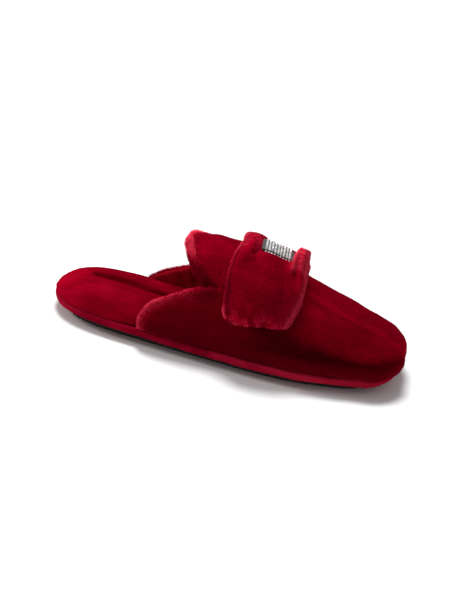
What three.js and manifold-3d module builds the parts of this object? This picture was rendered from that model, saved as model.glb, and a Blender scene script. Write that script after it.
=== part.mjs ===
// Closed-toe slide slipper for the right foot, with a plush bow over the instep.
// Millimetres. While it is built, X runs from the heel (0) to the toe, Y from the lateral side (minus)
// to the medial side (plus), and Z up from the floor. The finished group is centred on its footprint.
import * as THREE from 'three';
import { mergeVertices } from 'three/addons/utils/BufferGeometryUtils.js';
import Module from 'manifold-3d';

const wasm = await Module();
wasm.setup();

// Driving sizes
const length = 266; // wrapped rim, heel to toe
const ballWidth = 115; // widest span of the wrapped rim
const instepHeight = 80; // plush surface over the instep, above the floor
const gap = 0.3; // between pieces that touch

// Rubber outsole
const outsoleInset = 10.5; // rim edge to rubber edge
const outsoleFore = 6.6; // thickness from the waist forward
const outsoleHeel = 7.6; // thickness under the heel
const heelBreast = 78; // where the heel thickness has ended
const heelSlope = 34; // length of the change in thickness
const toeSpring = 2.6; // lift at the tip of the toe
const toeRoll = 40; // length of the toe that lifts
const heelSpring = 0.8;
const heelRoll = 14;
const rubberRound = 1.4; // softening of the rubber's long edges
const treadBorder = 12; // smooth border round the ribbed field
const ribPitch = 5.75;
const ribGap = 2;
const ribDepth = 1.3;
const ribSkew = -6.5; // degrees, turned from square across the foot
const discAt = 112; // centre of the flat disc in the tread
const discRadius = 12;
const discGap = 1.6; // groove round the disc

// Wrapped rim
const rimHeight = 6;
const rimRoundLow = 1.2;
const rimRoundHigh = 2.2;

// Footbed
const footbedInset = 0.8; // rim edge to pad edge
const padEdge = 3.3; // height of the pad at its edge
const padDome = 5; // further rise to the middle of the heel
const troughDepth = 2.6;
const troughFrom = 18;
const troughTo = 92;
const troughSide = 0.32; // across the medial half of the pad
const troughWidth = 0.15;

// Upper
const wall = 5; // plush, foam and lining together
const upperInset = 1; // rim edge to the foot of the wall
const wingBack = 50; // where the last form starts, behind the wings
const crownSide = -2; // the ridge of the vamp lies a little to the lateral side
const spineEnd = 200; // behind this the sections lie square across the foot
const spineReach = 0.35; // how far the ridge goes on towards the tip

// Bow
const bowGap = 0.6; // bow to vamp
const bowMiddle = 163.4; // along the foot
const bowHalfWidth = 28.6;
const bowReach = 61; // ridge of the vamp to the fold, measured over the vamp
const bowSlant = 0.12; // the fold reaches further down at the heel edge, as a share of the reach
const bowPly = 3.6; // one layer of plush
const foldNose = 9; // length over which the fold rounds off
const hollowStart = 18; // ridge to the start of the loop's hollow
const hollowStretch = 1.15; // takes the hollow past both edges of the ribbon
const medialFlat = 0.6; // how much thinner the medial loop's toe edge lies, as a share
const medialDraw = 0.14; // how much narrower the medial loop is on its toe side, as a share
const puffLift = 11; // gathered edges at both ends of the band
const puffFrom = 0.57; // where they start to rise, as a share of the half width
const bowTilt = 2.4; // the gathered middle is this much thicker at the toe edge, and thinner at the heel edge
const bandMiddle = 162.4;
const bandSkew = -0.12; // turned back towards the heel on the medial side, in millimetres for each across
const bandHalfLength = 12.4;
const bandLateral = 6.8; // reach of the band from the ridge to the lateral side
const bandMedial = 14.5; // and to the medial side
const bandThick = 2.4;

// Outline of the rim, once round from the heel along the lateral side to the toe and back.
// at is a share of the length, out a share of the ball width.
const rimOutline = [
  { at: 0.0, out: 0.0 },
  { at: 0.004, out: -0.09 },
  { at: 0.02, out: -0.183 },
  { at: 0.05, out: -0.27 },
  { at: 0.11, out: -0.348 },
  { at: 0.2, out: -0.397 },
  { at: 0.35, out: -0.442 },
  { at: 0.5, out: -0.481 },
  { at: 0.62, out: -0.505 },
  { at: 0.72, out: -0.506 },
  { at: 0.8, out: -0.474 },
  { at: 0.87, out: -0.432 },
  { at: 0.93, out: -0.365 },
  { at: 0.972, out: -0.268 },
  { at: 0.993, out: -0.155 },
  { at: 1.0, out: 0.0 },
  { at: 0.995, out: 0.135 },
  { at: 0.97, out: 0.262 },
  { at: 0.93, out: 0.36 },
  { at: 0.87, out: 0.444 },
  { at: 0.79, out: 0.485 },
  { at: 0.71, out: 0.488 },
  { at: 0.6, out: 0.459 },
  { at: 0.5, out: 0.411 },
  { at: 0.42, out: 0.371 },
  { at: 0.33, out: 0.353 },
  { at: 0.2, out: 0.361 },
  { at: 0.11, out: 0.34 },
  { at: 0.05, out: 0.27 },
  { at: 0.02, out: 0.187 },
  { at: 0.004, out: 0.095 },
];

// Lengthwise form of the last: height of the crown as a share of the instep height, squareness of
// the section, and how far the plush swells past the foot of the wall, in millimetres.
const lastSections = [
  { at: 0.18, crown: 0.985, square: 2.3, swell: 2.6 },
  { at: 0.38, crown: 0.985, square: 2.3, swell: 2.6 },
  { at: 0.5, crown: 0.935, square: 2.3, swell: 2.4 },
  { at: 0.61, crown: 0.835, square: 2.35, swell: 2.2 },
  { at: 0.72, crown: 0.68, square: 2.4, swell: 2.6 },
  { at: 0.8, crown: 0.575, square: 2.5, swell: 4 },
  { at: 0.88, crown: 0.49, square: 2.7, swell: 4.8 },
  { at: 0.95, crown: 0.455, square: 2.9, swell: 4.8 },
  { at: 1.03, crown: 0.42, square: 3.0, swell: 4.8 },
];

// Toplines seen from the side. A wing's line goes up its back edge and forward along its top to the
// notch, and the tongue's line from the notch back to its end. at is a share of the length, up a
// share of the instep height.
const lateralWing = [
  { at: 0.277, up: 0.1 },
  { at: 0.276, up: 0.29 },
  { at: 0.293, up: 0.42 },
  { at: 0.331, up: 0.515 },
  { at: 0.376, up: 0.59 },
  { at: 0.425, up: 0.645 },
  { at: 0.462, up: 0.68 },
];
const medialWing = [
  { at: 0.226, up: 0.1 },
  { at: 0.227, up: 0.2 },
  { at: 0.25, up: 0.275 },
  { at: 0.3, up: 0.355 },
  { at: 0.35, up: 0.435 },
  { at: 0.4, up: 0.535 },
  { at: 0.438, up: 0.625 },
  { at: 0.462, up: 0.68 },
];
const tongueLine = [
  { at: 0.48, up: 0.71 },
  { at: 0.464, up: 0.738 },
  { at: 0.43, up: 0.757 },
  { at: 0.402, up: 0.795 },
  { at: 0.379, up: 0.86 },
  { at: 0.363, up: 0.92 },
  { at: 0.352, up: 0.985 },
  { at: 0.349, up: 1.1 },
];

// Form of a bow loop. open goes from 0 at the ridge of the vamp to 1 at the fold. half is a share of
// the half width. heel, middle and toe are the thicknesses of the loop at its two edges and between
// them, in millimetres, and puff is a share of the puff lift.
const loopForm = [
  { open: 0.0, half: 0.9, heel: 7.5, middle: 11.8, toe: 18, puff: 1 },
  { open: 0.15, half: 0.91, heel: 7.3, middle: 11, toe: 17, puff: 0.95 },
  { open: 0.26, half: 0.95, heel: 7, middle: 9, toe: 14.6, puff: 0.5 },
  { open: 0.4, half: 1, heel: 7.5, middle: 10, toe: 15, puff: 0.12 },
  { open: 0.65, half: 1, heel: 9, middle: 10.5, toe: 13, puff: 0 },
  { open: 0.86, half: 0.97, heel: 9, middle: 10.5, toe: 12, puff: 0 },
  { open: 0.95, half: 0.9, heel: 8.8, middle: 10.2, toe: 11.5, puff: 0 },
  { open: 1.0, half: 0.76, heel: 8.5, middle: 10, toe: 11, puff: 0 },
];

function finish(name, color, roughness, metalness) {
  return new THREE.MeshStandardMaterial({ name, color, roughness, metalness });
}

const plush = finish('plush', 0x8c0618, 0.95, 0);
const velour = finish('velour', 0xa50d22, 0.9, 0);
const rubber = finish('rubber', 0x23261f, 0.7, 0);
const stones = finish('stones', 0xb9bcc0, 0.25, 0.6);

// Reads one column of a table at a place between its rows, with a smooth blend.
function column(table, key, name, place) {
  const last = table.length - 1;
  if (place <= table[0][key]) return table[0][name];
  if (place >= table[last][key]) return table[last][name];
  const row = table.findIndex((entry) => entry[key] > place) - 1;
  const before = table[Math.max(row - 1, 0)];
  const from = table[row];
  const to = table[row + 1];
  const after = table[Math.min(row + 2, last)];
  const span = to[key] - from[key];
  const share = (place - from[key]) / span;
  const slopeFrom = ((to[name] - before[name]) / (to[key] - before[key])) * span;
  const slopeTo = ((after[name] - from[name]) / (after[key] - from[key])) * span;
  const square = share * share;
  const cube = square * share;
  return (
    (2 * cube - 3 * square + 1) * from[name] +
    (cube - 2 * square + share) * slopeFrom +
    (3 * square - 2 * cube) * to[name] +
    (cube - square) * slopeTo
  );
}

function ramp(from, to, place) {
  return THREE.MathUtils.smoothstep(place, from, to);
}

// Heights along the foot
function ground(x) {
  const toe = Math.max(0, x - (length - toeRoll)) / toeRoll;
  const heel = Math.max(0, heelRoll - x) / heelRoll;
  return toeSpring * toe * toe + heelSpring * heel * heel;
}

function rubberTop(x) {
  const step = outsoleHeel - outsoleFore;
  return ground(x) + outsoleHeel - step * ramp(heelBreast - heelSlope / 2, heelBreast + heelSlope / 2, x);
}

function rimFoot(x) {
  return rubberTop(x) + gap;
}

function rimTop(x) {
  return rimFoot(x) + rimHeight;
}

function seat(x) {
  return rimTop(x) + gap;
}

// The rim's outline moved inwards, with its ends and its two edges at any place along the foot.
const rimCurve = new THREE.CatmullRomCurve3(
  rimOutline.map((row) => new THREE.Vector3(row.at * length, row.out * ballWidth, 0)),
  true,
  'centripetal',
);
const rimPoints = rimCurve.getSpacedPoints(480).slice(0, -1);

function movedOutline(inset, count = rimPoints.length) {
  const step = rimPoints.length / count;
  const outline = [];
  for (let index = 0; index < count; index += 1) {
    const place = Math.round(index * step);
    const before = rimPoints[(place + rimPoints.length - 1) % rimPoints.length];
    const after = rimPoints[(place + 1) % rimPoints.length];
    const along = after.clone().sub(before).normalize();
    const inward = new THREE.Vector3(-along.y, along.x, 0);
    outline.push(rimPoints[place].clone().addScaledVector(inward, inset));
  }
  return outline;
}

const edgeLists = new Map();
function edges(inset) {
  if (!edgeLists.has(inset)) {
    const outline = movedOutline(inset);
    const heel = outline.reduce((least, point) => (point.x < least.x ? point : least));
    const tip = outline.reduce((most, point) => (point.x > most.x ? point : most));
    const turned = outline.indexOf(tip);
    const lateral = outline.slice(0, turned + 1);
    const medial = outline.slice(turned).concat([outline[0]]).reverse();
    edgeLists.set(inset, { heel, tip, lateral, medial });
  }
  return edgeLists.get(inset);
}

function edgeAt(inset, side, x) {
  const list = edges(inset)[side];
  const next = Math.max(1, list.findIndex((point) => point.x >= x));
  const from = list[next - 1];
  const to = list[next];
  const share = THREE.MathUtils.clamp((x - from.x) / Math.max(to.x - from.x, 1e-6), 0, 1);
  return from.y + (to.y - from.y) * share;
}

// Closed solid through a row of rings with the same number of points. An end ring may be folded
// flat on itself, as at a round heel or toe.
function solidThrough(rings) {
  const count = rings[0].length;
  const positions = rings.flat().flatMap((point) => [point.x, point.y, point.z]);
  const faces = [];
  for (let row = 0; row + 1 < rings.length; row += 1) {
    for (let index = 0; index < count; index += 1) {
      const next = (index + 1) % count;
      const low = row * count;
      const high = low + count;
      faces.push(low + index, low + next, high + next);
      faces.push(low + index, high + next, high + index);
    }
  }
  const lastRing = (rings.length - 1) * count;
  capFaces(count).forEach(([a, b, c]) => {
    faces.push(a, c, b);
    faces.push(lastRing + a, lastRing + b, lastRing + c);
  });
  const geometry = new THREE.BufferGeometry();
  geometry.setAttribute('position', new THREE.Float32BufferAttribute(positions, 3));
  geometry.setIndex(faces);
  return facingOut(toManifoldMesh(geometry));
}

// Triangles over an end ring, whose first half faces its second half point by point.
function capFaces(count) {
  const triangles = [];
  for (let index = 0; index < count / 2 - 1; index += 1) {
    const facing = count - 1 - index;
    triangles.push([index, index + 1, facing]);
    triangles.push([index + 1, facing - 1, facing]);
  }
  return triangles;
}

function toManifoldMesh(geometry) {
  const plain = geometry.clone();
  plain.deleteAttribute('normal');
  plain.deleteAttribute('uv');
  const merged = mergeVertices(plain, 1e-4);
  const kept = [];
  const index = merged.index.array;
  for (let face = 0; face < index.length; face += 3) {
    const [a, b, c] = [index[face], index[face + 1], index[face + 2]];
    if (a !== b && b !== c && c !== a) kept.push(a, b, c);
  }
  return new wasm.Mesh({
    numProp: 3,
    vertProperties: new Float32Array(merged.attributes.position.array),
    triVerts: new Uint32Array(kept),
  });
}

function facingOut(mesh) {
  const solid = new wasm.Manifold(mesh);
  if (solid.volume() > 0) return solid;
  const turned = new Uint32Array(mesh.triVerts);
  for (let face = 0; face < turned.length; face += 3) {
    [turned[face + 1], turned[face + 2]] = [turned[face + 2], turned[face + 1]];
  }
  const other = new wasm.Mesh({ numProp: 3, vertProperties: mesh.vertProperties, triVerts: turned });
  return new wasm.Manifold(other);
}

function solidFrom(geometry) {
  return facingOut(toManifoldMesh(geometry));
}

function largestPiece(solid) {
  return solid.decompose().reduce((most, piece) => (piece.volume() > most.volume() ? piece : most));
}

function meshFrom(solid, name, material) {
  const mesh = solid.getMesh();
  const geometry = new THREE.BufferGeometry();
  geometry.setAttribute('position', new THREE.Float32BufferAttribute(mesh.vertProperties, 3));
  geometry.setIndex(Array.from(mesh.triVerts));
  geometry.computeVertexNormals();
  const piece = new THREE.Mesh(geometry, material);
  piece.name = name;
  return piece;
}

// Places along a layer from end to end, closer together at its round ends.
function stationAt(inset, share) {
  const { heel, tip } = edges(inset);
  return (heel.x + tip.x) / 2 - ((tip.x - heel.x) / 2) * Math.cos(share * Math.PI);
}

// A layer of the sole. Its edge profile is a list from low to high, each row with its inset from
// the rim and its height, worked out along the foot.
function soleLayer(profile, stations) {
  const rings = [];
  for (let row = 0; row <= stations; row += 1) {
    const ended = row === 0 || row === stations;
    const corner = ({ inset, height }, side) => {
      const { heel, tip } = edges(inset);
      const x = stationAt(inset, row / stations);
      const end = row === 0 ? heel.y : tip.y;
      return new THREE.Vector3(x, ended ? end : edgeAt(inset, side, x), height(x));
    };
    const lateral = profile.map((entry) => corner(entry, 'lateral'));
    const medial = profile.map((entry) => corner(entry, 'medial')).reverse();
    rings.push([...lateral, ...medial]);
  }
  return solidThrough(rings);
}

const solePlaces = 44;

function makeOutsole() {
  const body = soleLayer(
    [
      { inset: outsoleInset + rubberRound, height: ground },
      { inset: outsoleInset, height: (x) => ground(x) + rubberRound },
      { inset: outsoleInset, height: (x) => rubberTop(x) - rubberRound / 2 },
      { inset: outsoleInset + rubberRound / 2, height: rubberTop },
    ],
    solePlaces,
  );
  const fieldInset = outsoleInset + treadBorder;
  const field = soleLayer(
    [
      { inset: fieldInset, height: () => -ribDepth },
      { inset: fieldInset, height: () => ribDepth },
    ],
    20,
  );
  const disc = new THREE.CylinderGeometry(discRadius + discGap, discRadius + discGap, 4 * ribDepth, 32);
  disc.rotateX(Math.PI / 2);
  disc.translate(discAt, 0, 0);
  const discFace = new THREE.CylinderGeometry(discRadius, discRadius, 4 * ribDepth, 32);
  discFace.rotateX(Math.PI / 2);
  discFace.translate(discAt, 0, 0);
  const grooves = [];
  const count = Math.floor((length - 2 * (outsoleInset + treadBorder)) / ribPitch);
  for (let index = 0; index < count; index += 1) {
    const groove = new THREE.BoxGeometry(ribGap, 2 * ballWidth, 4 * ribDepth);
    groove.rotateZ(THREE.MathUtils.degToRad(ribSkew));
    groove.translate(length / 2 + (index - (count - 1) / 2) * ribPitch, 0, 0);
    grooves.push(solidFrom(groove));
  }
  const ribs = wasm.Manifold.compose(grooves);
  const cut = field.intersect(ribs.add(solidFrom(disc))).subtract(solidFrom(discFace));
  return body.subtract(cut);
}

function makeMidsole() {
  return soleLayer(
    [
      { inset: rimRoundLow, height: rimFoot },
      { inset: 0.25 * rimRoundLow, height: (x) => rimFoot(x) + 0.4 * rimRoundLow },
      { inset: 0, height: (x) => rimFoot(x) + 1.4 * rimRoundLow },
      { inset: 0, height: (x) => rimTop(x) - rimRoundHigh },
      { inset: 0.3 * rimRoundHigh, height: (x) => rimTop(x) - 0.3 * rimRoundHigh },
      { inset: rimRoundHigh, height: rimTop },
    ],
    solePlaces,
  );
}

// Surface of the last at one section. grow moves it outwards, or inwards where it is below zero.
// side is -1 on the lateral half and 1 on the medial half, and rise goes from 0 at the foot of the
// wall to 1 at the crown.
function lastPoint(x, side, rise, grow) {
  const inset = upperInset - grow;
  const { tip } = edges(inset);
  const foot = edgeAt(inset, side < 0 ? 'lateral' : 'medial', x);
  const form = (name) => column(lastSections, 'at', name, x / length);
  const angle = (rise * Math.PI) / 2;
  const power = 2 / form('square');
  const inwards = 1 - Math.cos(angle) ** power;
  const upwards = Math.sin(angle) ** power;
  const past = Math.max(0, x - spineEnd);
  const ridgeSide = THREE.MathUtils.lerp(crownSide, tip.y, past / length);
  const ridge = new THREE.Vector2(x - past * (1 - spineReach), ridgeSide);
  const base = new THREE.Vector2(x, foot);
  const flat = base.clone().lerp(ridge, inwards);
  const outward = base.clone().sub(ridge).normalize();
  flat.addScaledVector(outward, form('swell') * (4 * upwards * (1 - upwards)) ** 0.6);
  const crown = instepHeight * column(lastSections, 'at', 'crown', flat.x / length) + grow;
  return new THREE.Vector3(flat.x, flat.y, seat(x) + (crown - seat(x)) * upwards);
}

// Filled form of the last from the back of the wings to the toe, with straight sides below its foot.
function lastForm(grow, back, below, stations, steps) {
  const { tip } = edges(upperInset - grow);
  const rings = [];
  for (let row = 0; row <= stations; row += 1) {
    const share = Math.sin(((row / stations) * Math.PI) / 2);
    const x = back + (tip.x - back) * share;
    const ring = [];
    const add = (side, index) => ring.push(lastPoint(x, row === stations ? -1 : side, index / steps, grow));
    for (let index = 0; index <= steps; index += 1) add(-1, index);
    for (let index = steps - 1; index >= 0; index -= 1) add(1, index);
    const lateralFoot = ring[0].clone().setZ(below);
    const medialFoot = ring[ring.length - 1].clone().setZ(below);
    rings.push([lateralFoot, ...ring, medialFoot]);
  }
  return solidThrough(rings);
}

// Everything behind the topline of one side, as a block from the ridge outwards.
function behindTopline(wing, side, shift) {
  const line = new THREE.CatmullRomCurve3(
    [...wing, ...tongueLine].map(
      (row) => new THREE.Vector3(row.at * length + shift, row.up * instepHeight, 0),
    ),
    false,
    'centripetal',
  ).getPoints(44);
  const shape = new THREE.Shape();
  shape.moveTo(-length, -instepHeight);
  shape.lineTo(line[0].x, -instepHeight);
  line.forEach((point) => shape.lineTo(point.x, point.y));
  shape.lineTo(line[line.length - 1].x, 2 * instepHeight);
  shape.lineTo(-length, 2 * instepHeight);
  shape.closePath();
  const block = new THREE.ExtrudeGeometry(shape, { depth: ballWidth, bevelEnabled: false });
  block.rotateX(Math.PI / 2);
  block.translate(0, side < 0 ? crownSide : crownSide + ballWidth, 0);
  return solidFrom(block);
}

// Everything under the seat of the upper.
function belowSeat() {
  const shape = new THREE.Shape();
  shape.moveTo(-length, -instepHeight);
  shape.lineTo(-length, seat(0));
  for (let x = 0; x <= length + 20; x += 6) shape.lineTo(x, seat(Math.min(x, length)));
  shape.lineTo(2 * length, seat(length));
  shape.lineTo(2 * length, -instepHeight);
  shape.closePath();
  const block = new THREE.ExtrudeGeometry(shape, { depth: 2 * ballWidth, bevelEnabled: false });
  block.rotateX(Math.PI / 2);
  block.translate(0, ballWidth, 0);
  return solidFrom(block);
}

function upperShell(spare) {
  const outside = lastForm(spare, wingBack, -5, 40, 13);
  const inside = lastForm(-wall - spare, wingBack - 10, -10, 36, 11);
  return outside
    .subtract(inside)
    .subtract(behindTopline(lateralWing, -1, -spare))
    .subtract(behindTopline(medialWing, 1, -spare));
}

function makeUpper() {
  return largestPiece(upperShell(0).subtract(belowSeat()));
}

function padHeight(x, share) {
  const across = Math.abs(share);
  const dome = (1 - across ** 2.6) ** 0.7;
  const along = ramp(0, 24, x) * (1 - 0.6 * ramp(26, 80, x));
  const middle = (troughFrom + troughTo) / 2;
  const half = (troughTo - troughFrom) / 2;
  const lengthwise = Math.max(0, 1 - ((x - middle) / half) ** 2);
  const crosswise = Math.exp(-(((share - troughSide) / troughWidth) ** 2));
  const trough = troughDepth * lengthwise * crosswise;
  return padEdge * Math.min(1, (1 - across) * 14) + padDome * dome * (0.35 + 0.65 * along) - trough;
}

function makeInsole() {
  const { heel, tip } = edges(footbedInset);
  const shares = [-1, -0.985, -0.94, -0.84, -0.68, -0.45, -0.2, 0, 0.2, 0.35, 0.5, 0.65, 0.8, 0.92, 0.985, 1];
  const stations = 34;
  const rings = [];
  for (let row = 0; row <= stations; row += 1) {
    const x = stationAt(footbedInset, row / stations);
    const ended = row === 0 || row === stations;
    const lateral = ended ? (row === 0 ? heel.y : tip.y) : edgeAt(footbedInset, 'lateral', x);
    const medial = ended ? lateral : edgeAt(footbedInset, 'medial', x);
    const roundEnd = Math.min(1, Math.sqrt(Math.max(0, (x - heel.x) * (tip.x - x))) / 45);
    const ring = shares.map((share) => {
      const y = (lateral + medial) / 2 + (share * (medial - lateral)) / 2;
      return new THREE.Vector3(x, y, seat(x) + padHeight(x, share) * roundEnd);
    });
    rings.push([new THREE.Vector3(x, lateral, seat(x)), ...ring, new THREE.Vector3(x, medial, seat(x))]);
  }
  return largestPiece(solidThrough(rings).subtract(upperShell(gap)));
}

// A place on or off the vamp: x along the foot, reach measured over the surface from the ridge
// (below zero on the lateral side), and off the distance outwards from the surface.
const walkSteps = 48;
function overVamp(x, reach, off) {
  const side = reach < 0 ? -1 : 1;
  let left = Math.abs(reach);
  let from = lastPoint(x, side, 1, 0);
  let to = from;
  for (let step = 1; step <= walkSteps; step += 1) {
    to = lastPoint(x, side, 1 - step / walkSteps, 0);
    const span = from.distanceTo(to);
    if (left <= span || step === walkSteps) break;
    left -= span;
    from = to;
  }
  const along = to.clone().sub(from).normalize();
  const outward = new THREE.Vector3(0, -side * along.z, side * along.y);
  return from.clone().addScaledVector(along, left).addScaledVector(outward, off);
}

// Reaches from one place to another, closer together towards the second.
function reachesTo(from, to, steps) {
  const share = (index) => 1 - (1 - index / steps) ** 1.35;
  return Array.from({ length: steps + 1 }, (_, index) => from + (to - from) * share(index));
}

// Thickness of the folded ribbon. wide goes from -1 at the heel edge to 1 at the toe edge.
function loopThickness(open, wide, side) {
  const form = (name) => column(loopForm, 'open', name, open);
  const flat = side > 0 ? medialFlat * ramp(0.05, 0.3, open) : 0;
  const edge = wide < 0 ? form('heel') : form('toe') * (1 - flat);
  const puffed = ramp(puffFrom, 0.84, Math.abs(wide)) * (1 - 0.3 * ramp(0.86, 1, Math.abs(wide)));
  const lean = bowTilt * wide * form('puff');
  const lift = puffLift * (1 - flat) * form('puff') * puffed;
  return THREE.MathUtils.lerp(form('middle'), edge, wide * wide) + lean + lift;
}

// One section of a loop, from the ridge out to the fold and back. ply is taken off all round for
// the hollow.
function loopSection(wide, side, ply, reaches, stretch) {
  const under = [];
  const over = [];
  const fold = reaches[reaches.length - 1];
  reaches.forEach((reach) => {
    const open = reach / bowReach;
    const drawn = side > 0 && wide > 0 ? 1 - medialDraw * ramp(0.05, 0.3, open) : 1;
    const x = bowMiddle + wide * drawn * stretch * bowHalfWidth * column(loopForm, 'open', 'half', open);
    const thick = loopThickness(open, wide, side);
    const nose = Math.max(0, (reach - (fold - foldNose)) / foldNose);
    const half = Math.max(thick / 2 - ply, gap) * Math.sqrt(Math.max(0, 1 - nose * nose));
    const slanted = side * reach * (1 - bowSlant * wide * open);
    under.push(overVamp(x, slanted, bowGap + thick / 2 - half));
    over.push(overVamp(x, slanted, bowGap + thick / 2 + half));
  });
  return [...under, ...over.reverse()];
}

function makeLoop(side) {
  const half = [0.2, puffFrom, 0.71, 0.81, 0.92, 1];
  const across = [...half.map((wide) => -wide).reverse(), ...half];
  const outer = [gap / 2, ...reachesTo(bandLateral / 2, bowReach, 14)];
  const inner = reachesTo(hollowStart, bowReach - bowPly, 9);
  const ribbon = solidThrough(across.map((wide) => loopSection(wide, side, 0, outer, 1)));
  const hollow = solidThrough(across.map((wide) => loopSection(wide, side, bowPly, inner, hollowStretch)));
  return ribbon.subtract(hollow);
}

// The band lies on the gathered middle of the bow, between the puffed edges.
function makeBand() {
  const rows = 8;
  const columns = 10;
  const rings = [];
  for (let row = 0; row <= rows; row += 1) {
    const along = bandMiddle + bandHalfLength * ((2 * row) / rows - 1);
    const under = [];
    const over = [];
    for (let index = 0; index <= columns; index += 1) {
      const reach = THREE.MathUtils.lerp(bandMedial, -bandLateral, index / columns);
      const x = along + bandSkew * reach;
      const wide = (x - bowMiddle) / (bowHalfWidth * loopForm[0].half);
      const low = bowGap + loopThickness(Math.abs(reach) / bowReach, wide, Math.sign(reach)) + 2.2 * gap;
      under.push(overVamp(x, reach, low));
      over.push(overVamp(x, reach, low + bandThick));
    }
    rings.push([...under, ...over.reverse()]);
  }
  return solidThrough(rings);
}

const slipper = new THREE.Group();
slipper.add(
  meshFrom(makeOutsole(), 'outsole', rubber),
  meshFrom(makeMidsole(), 'midsole', velour),
  meshFrom(makeInsole(), 'insole', velour),
  meshFrom(makeUpper(), 'upper', plush),
  meshFrom(makeLoop(-1), 'bow_loop_lateral', plush),
  meshFrom(makeLoop(1), 'bow_loop_medial', plush),
  meshFrom(makeBand(), 'bow_band', stones),
);
const box = new THREE.Box3().setFromObject(slipper);
const centre = box.getCenter(new THREE.Vector3());
slipper.position.set(-centre.x, -centre.y, -box.min.z);

export default slipper;
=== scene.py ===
"""A red plush mule with a ribbon bow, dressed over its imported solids."""
import math

import bmesh
import bpy
import numpy as np
from mathutils import Matrix, Vector, noise
from mathutils.bvhtree import BVHTree


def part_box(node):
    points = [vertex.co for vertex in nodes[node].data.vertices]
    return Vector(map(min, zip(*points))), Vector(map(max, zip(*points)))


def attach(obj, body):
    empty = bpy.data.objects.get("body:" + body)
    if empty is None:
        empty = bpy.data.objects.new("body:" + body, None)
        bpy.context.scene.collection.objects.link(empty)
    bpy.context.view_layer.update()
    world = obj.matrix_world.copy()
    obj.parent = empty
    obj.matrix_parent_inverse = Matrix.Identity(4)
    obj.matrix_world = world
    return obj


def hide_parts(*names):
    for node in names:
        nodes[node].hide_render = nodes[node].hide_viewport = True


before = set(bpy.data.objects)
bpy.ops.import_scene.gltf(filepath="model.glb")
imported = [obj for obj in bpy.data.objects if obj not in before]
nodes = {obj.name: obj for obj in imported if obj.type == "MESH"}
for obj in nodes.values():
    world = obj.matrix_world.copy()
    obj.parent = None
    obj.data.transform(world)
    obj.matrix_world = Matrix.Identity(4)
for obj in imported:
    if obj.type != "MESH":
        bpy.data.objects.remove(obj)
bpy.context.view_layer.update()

# Places and lengths are in the slipper's own millimetres: x from the back of the heel, y towards
# the big toe side from the middle line, z from the floor. The toe points along x.
MM = 0.001
LATERAL_REACH = 58.56  # middle line to the widest point of the rim on the little toe side
rim_low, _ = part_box("midsole")
START = np.array([rim_low.x / MM, rim_low.y / MM + LATERAL_REACH, 0.0])


def in_slipper(places):
    """From the scene's metres to the slipper's own millimetres."""
    return np.asarray(places) / MM - START


def in_scene(places):
    """From the slipper's own millimetres to the scene's metres."""
    return (np.asarray(places) + START) * MM


# ---------------------------------------------------------------- shader maths


class Wire:
    """A socket that can be added, subtracted and multiplied like a number."""

    def __init__(self, paint, socket):
        self.paint = paint
        self.socket = socket

    def _join(self, operation, first, second):
        made = self.paint.node("ShaderNodeMath", {"operation": operation}, {0: first, 1: second})
        return self.paint.wire(made.outputs[0])

    def __add__(self, other):
        return self._join("ADD", self, other)

    __radd__ = __add__

    def __mul__(self, other):
        return self._join("MULTIPLY", self, other)

    def __sub__(self, other):
        return self._join("SUBTRACT", self, other)

    def __rsub__(self, other):
        return self._join("SUBTRACT", other, self)


class Paint:
    """A new material, with short ways to add and join its nodes."""

    def __init__(self, name, **constants):
        self.material = bpy.data.materials.new(name)
        self.material.use_nodes = True
        self.tree = self.material.node_tree
        self.shader = self.tree.nodes["Principled BSDF"]
        self.place = self.wire(self.node("ShaderNodeTexCoord").outputs["Object"])
        self.set(**constants)

    def wire(self, socket):
        return Wire(self, socket)

    def node(self, kind, settings=None, inputs=None):
        made = self.tree.nodes.new(kind)
        for name, value in (settings or {}).items():
            setattr(made, name, value)
        for name, value in (inputs or {}).items():
            self.feed(made.inputs[name], value)
        return made

    def feed(self, socket, value):
        if isinstance(value, Wire):
            self.tree.links.new(value.socket, socket)
        else:
            socket.default_value = value

    def set(self, **inputs):
        for socket, value in inputs.items():
            self.feed(self.shader.inputs[socket.replace("_", " ")], value)

    def noise(self, scale, detail=3.0, rough=0.55, stretch=None, turn=(0, 0, 0)):
        """Value noise; scale counts cells in a metre, and stretch scales the axes first."""
        where = self.place
        if stretch:
            inputs = {"Vector": where, "Scale": stretch, "Rotation": turn}
            where = self.wire(self.node("ShaderNodeMapping", inputs=inputs).outputs[0])
        inputs = {"Vector": where, "Scale": scale, "Detail": detail, "Roughness": rough}
        return self.wire(self.node("ShaderNodeTexNoise", inputs=inputs).outputs[0])

    def ramp(self, value, *stops):
        """Colours by value; each stop is (value, colour)."""
        made = self.node("ShaderNodeValToRGB", inputs={0: value})
        elements = made.color_ramp.elements
        while len(elements) > 1:
            elements.remove(elements[-1])
        elements[0].position, elements[0].color = stops[0]
        for position, colour in stops[1:]:
            elements.new(position).color = colour
        return self.wire(made.outputs["Color"])

    def between(self, value, low, high):
        """0 up to low, 1 from high, and a soft rise in between."""
        inputs = {"Value": value, "From Min": low, "From Max": high}
        made = self.node("ShaderNodeMapRange", {"interpolation_type": "SMOOTHSTEP"}, inputs)
        return self.wire(made.outputs[0])

    def bump(self, height, distance, strength=1.0, under=None):
        inputs = {"Height": height, "Distance": distance, "Strength": strength}
        if under is not None:
            inputs["Normal"] = under
        return self.wire(self.node("ShaderNodeBump", inputs=inputs).outputs[0])

    def attribute(self, name):
        made = self.node("ShaderNodeAttribute", {"attribute_name": name})
        return self.wire(made.outputs["Fac"])

    def height(self):
        """Metres above the floor."""
        return self.wire(self.node("ShaderNodeSeparateXYZ", inputs={0: self.place}).outputs[2])


def rgb(red, green, blue):
    return (red, green, blue, 1.0)


# ---------------------------------------------------------------- materials


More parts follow.
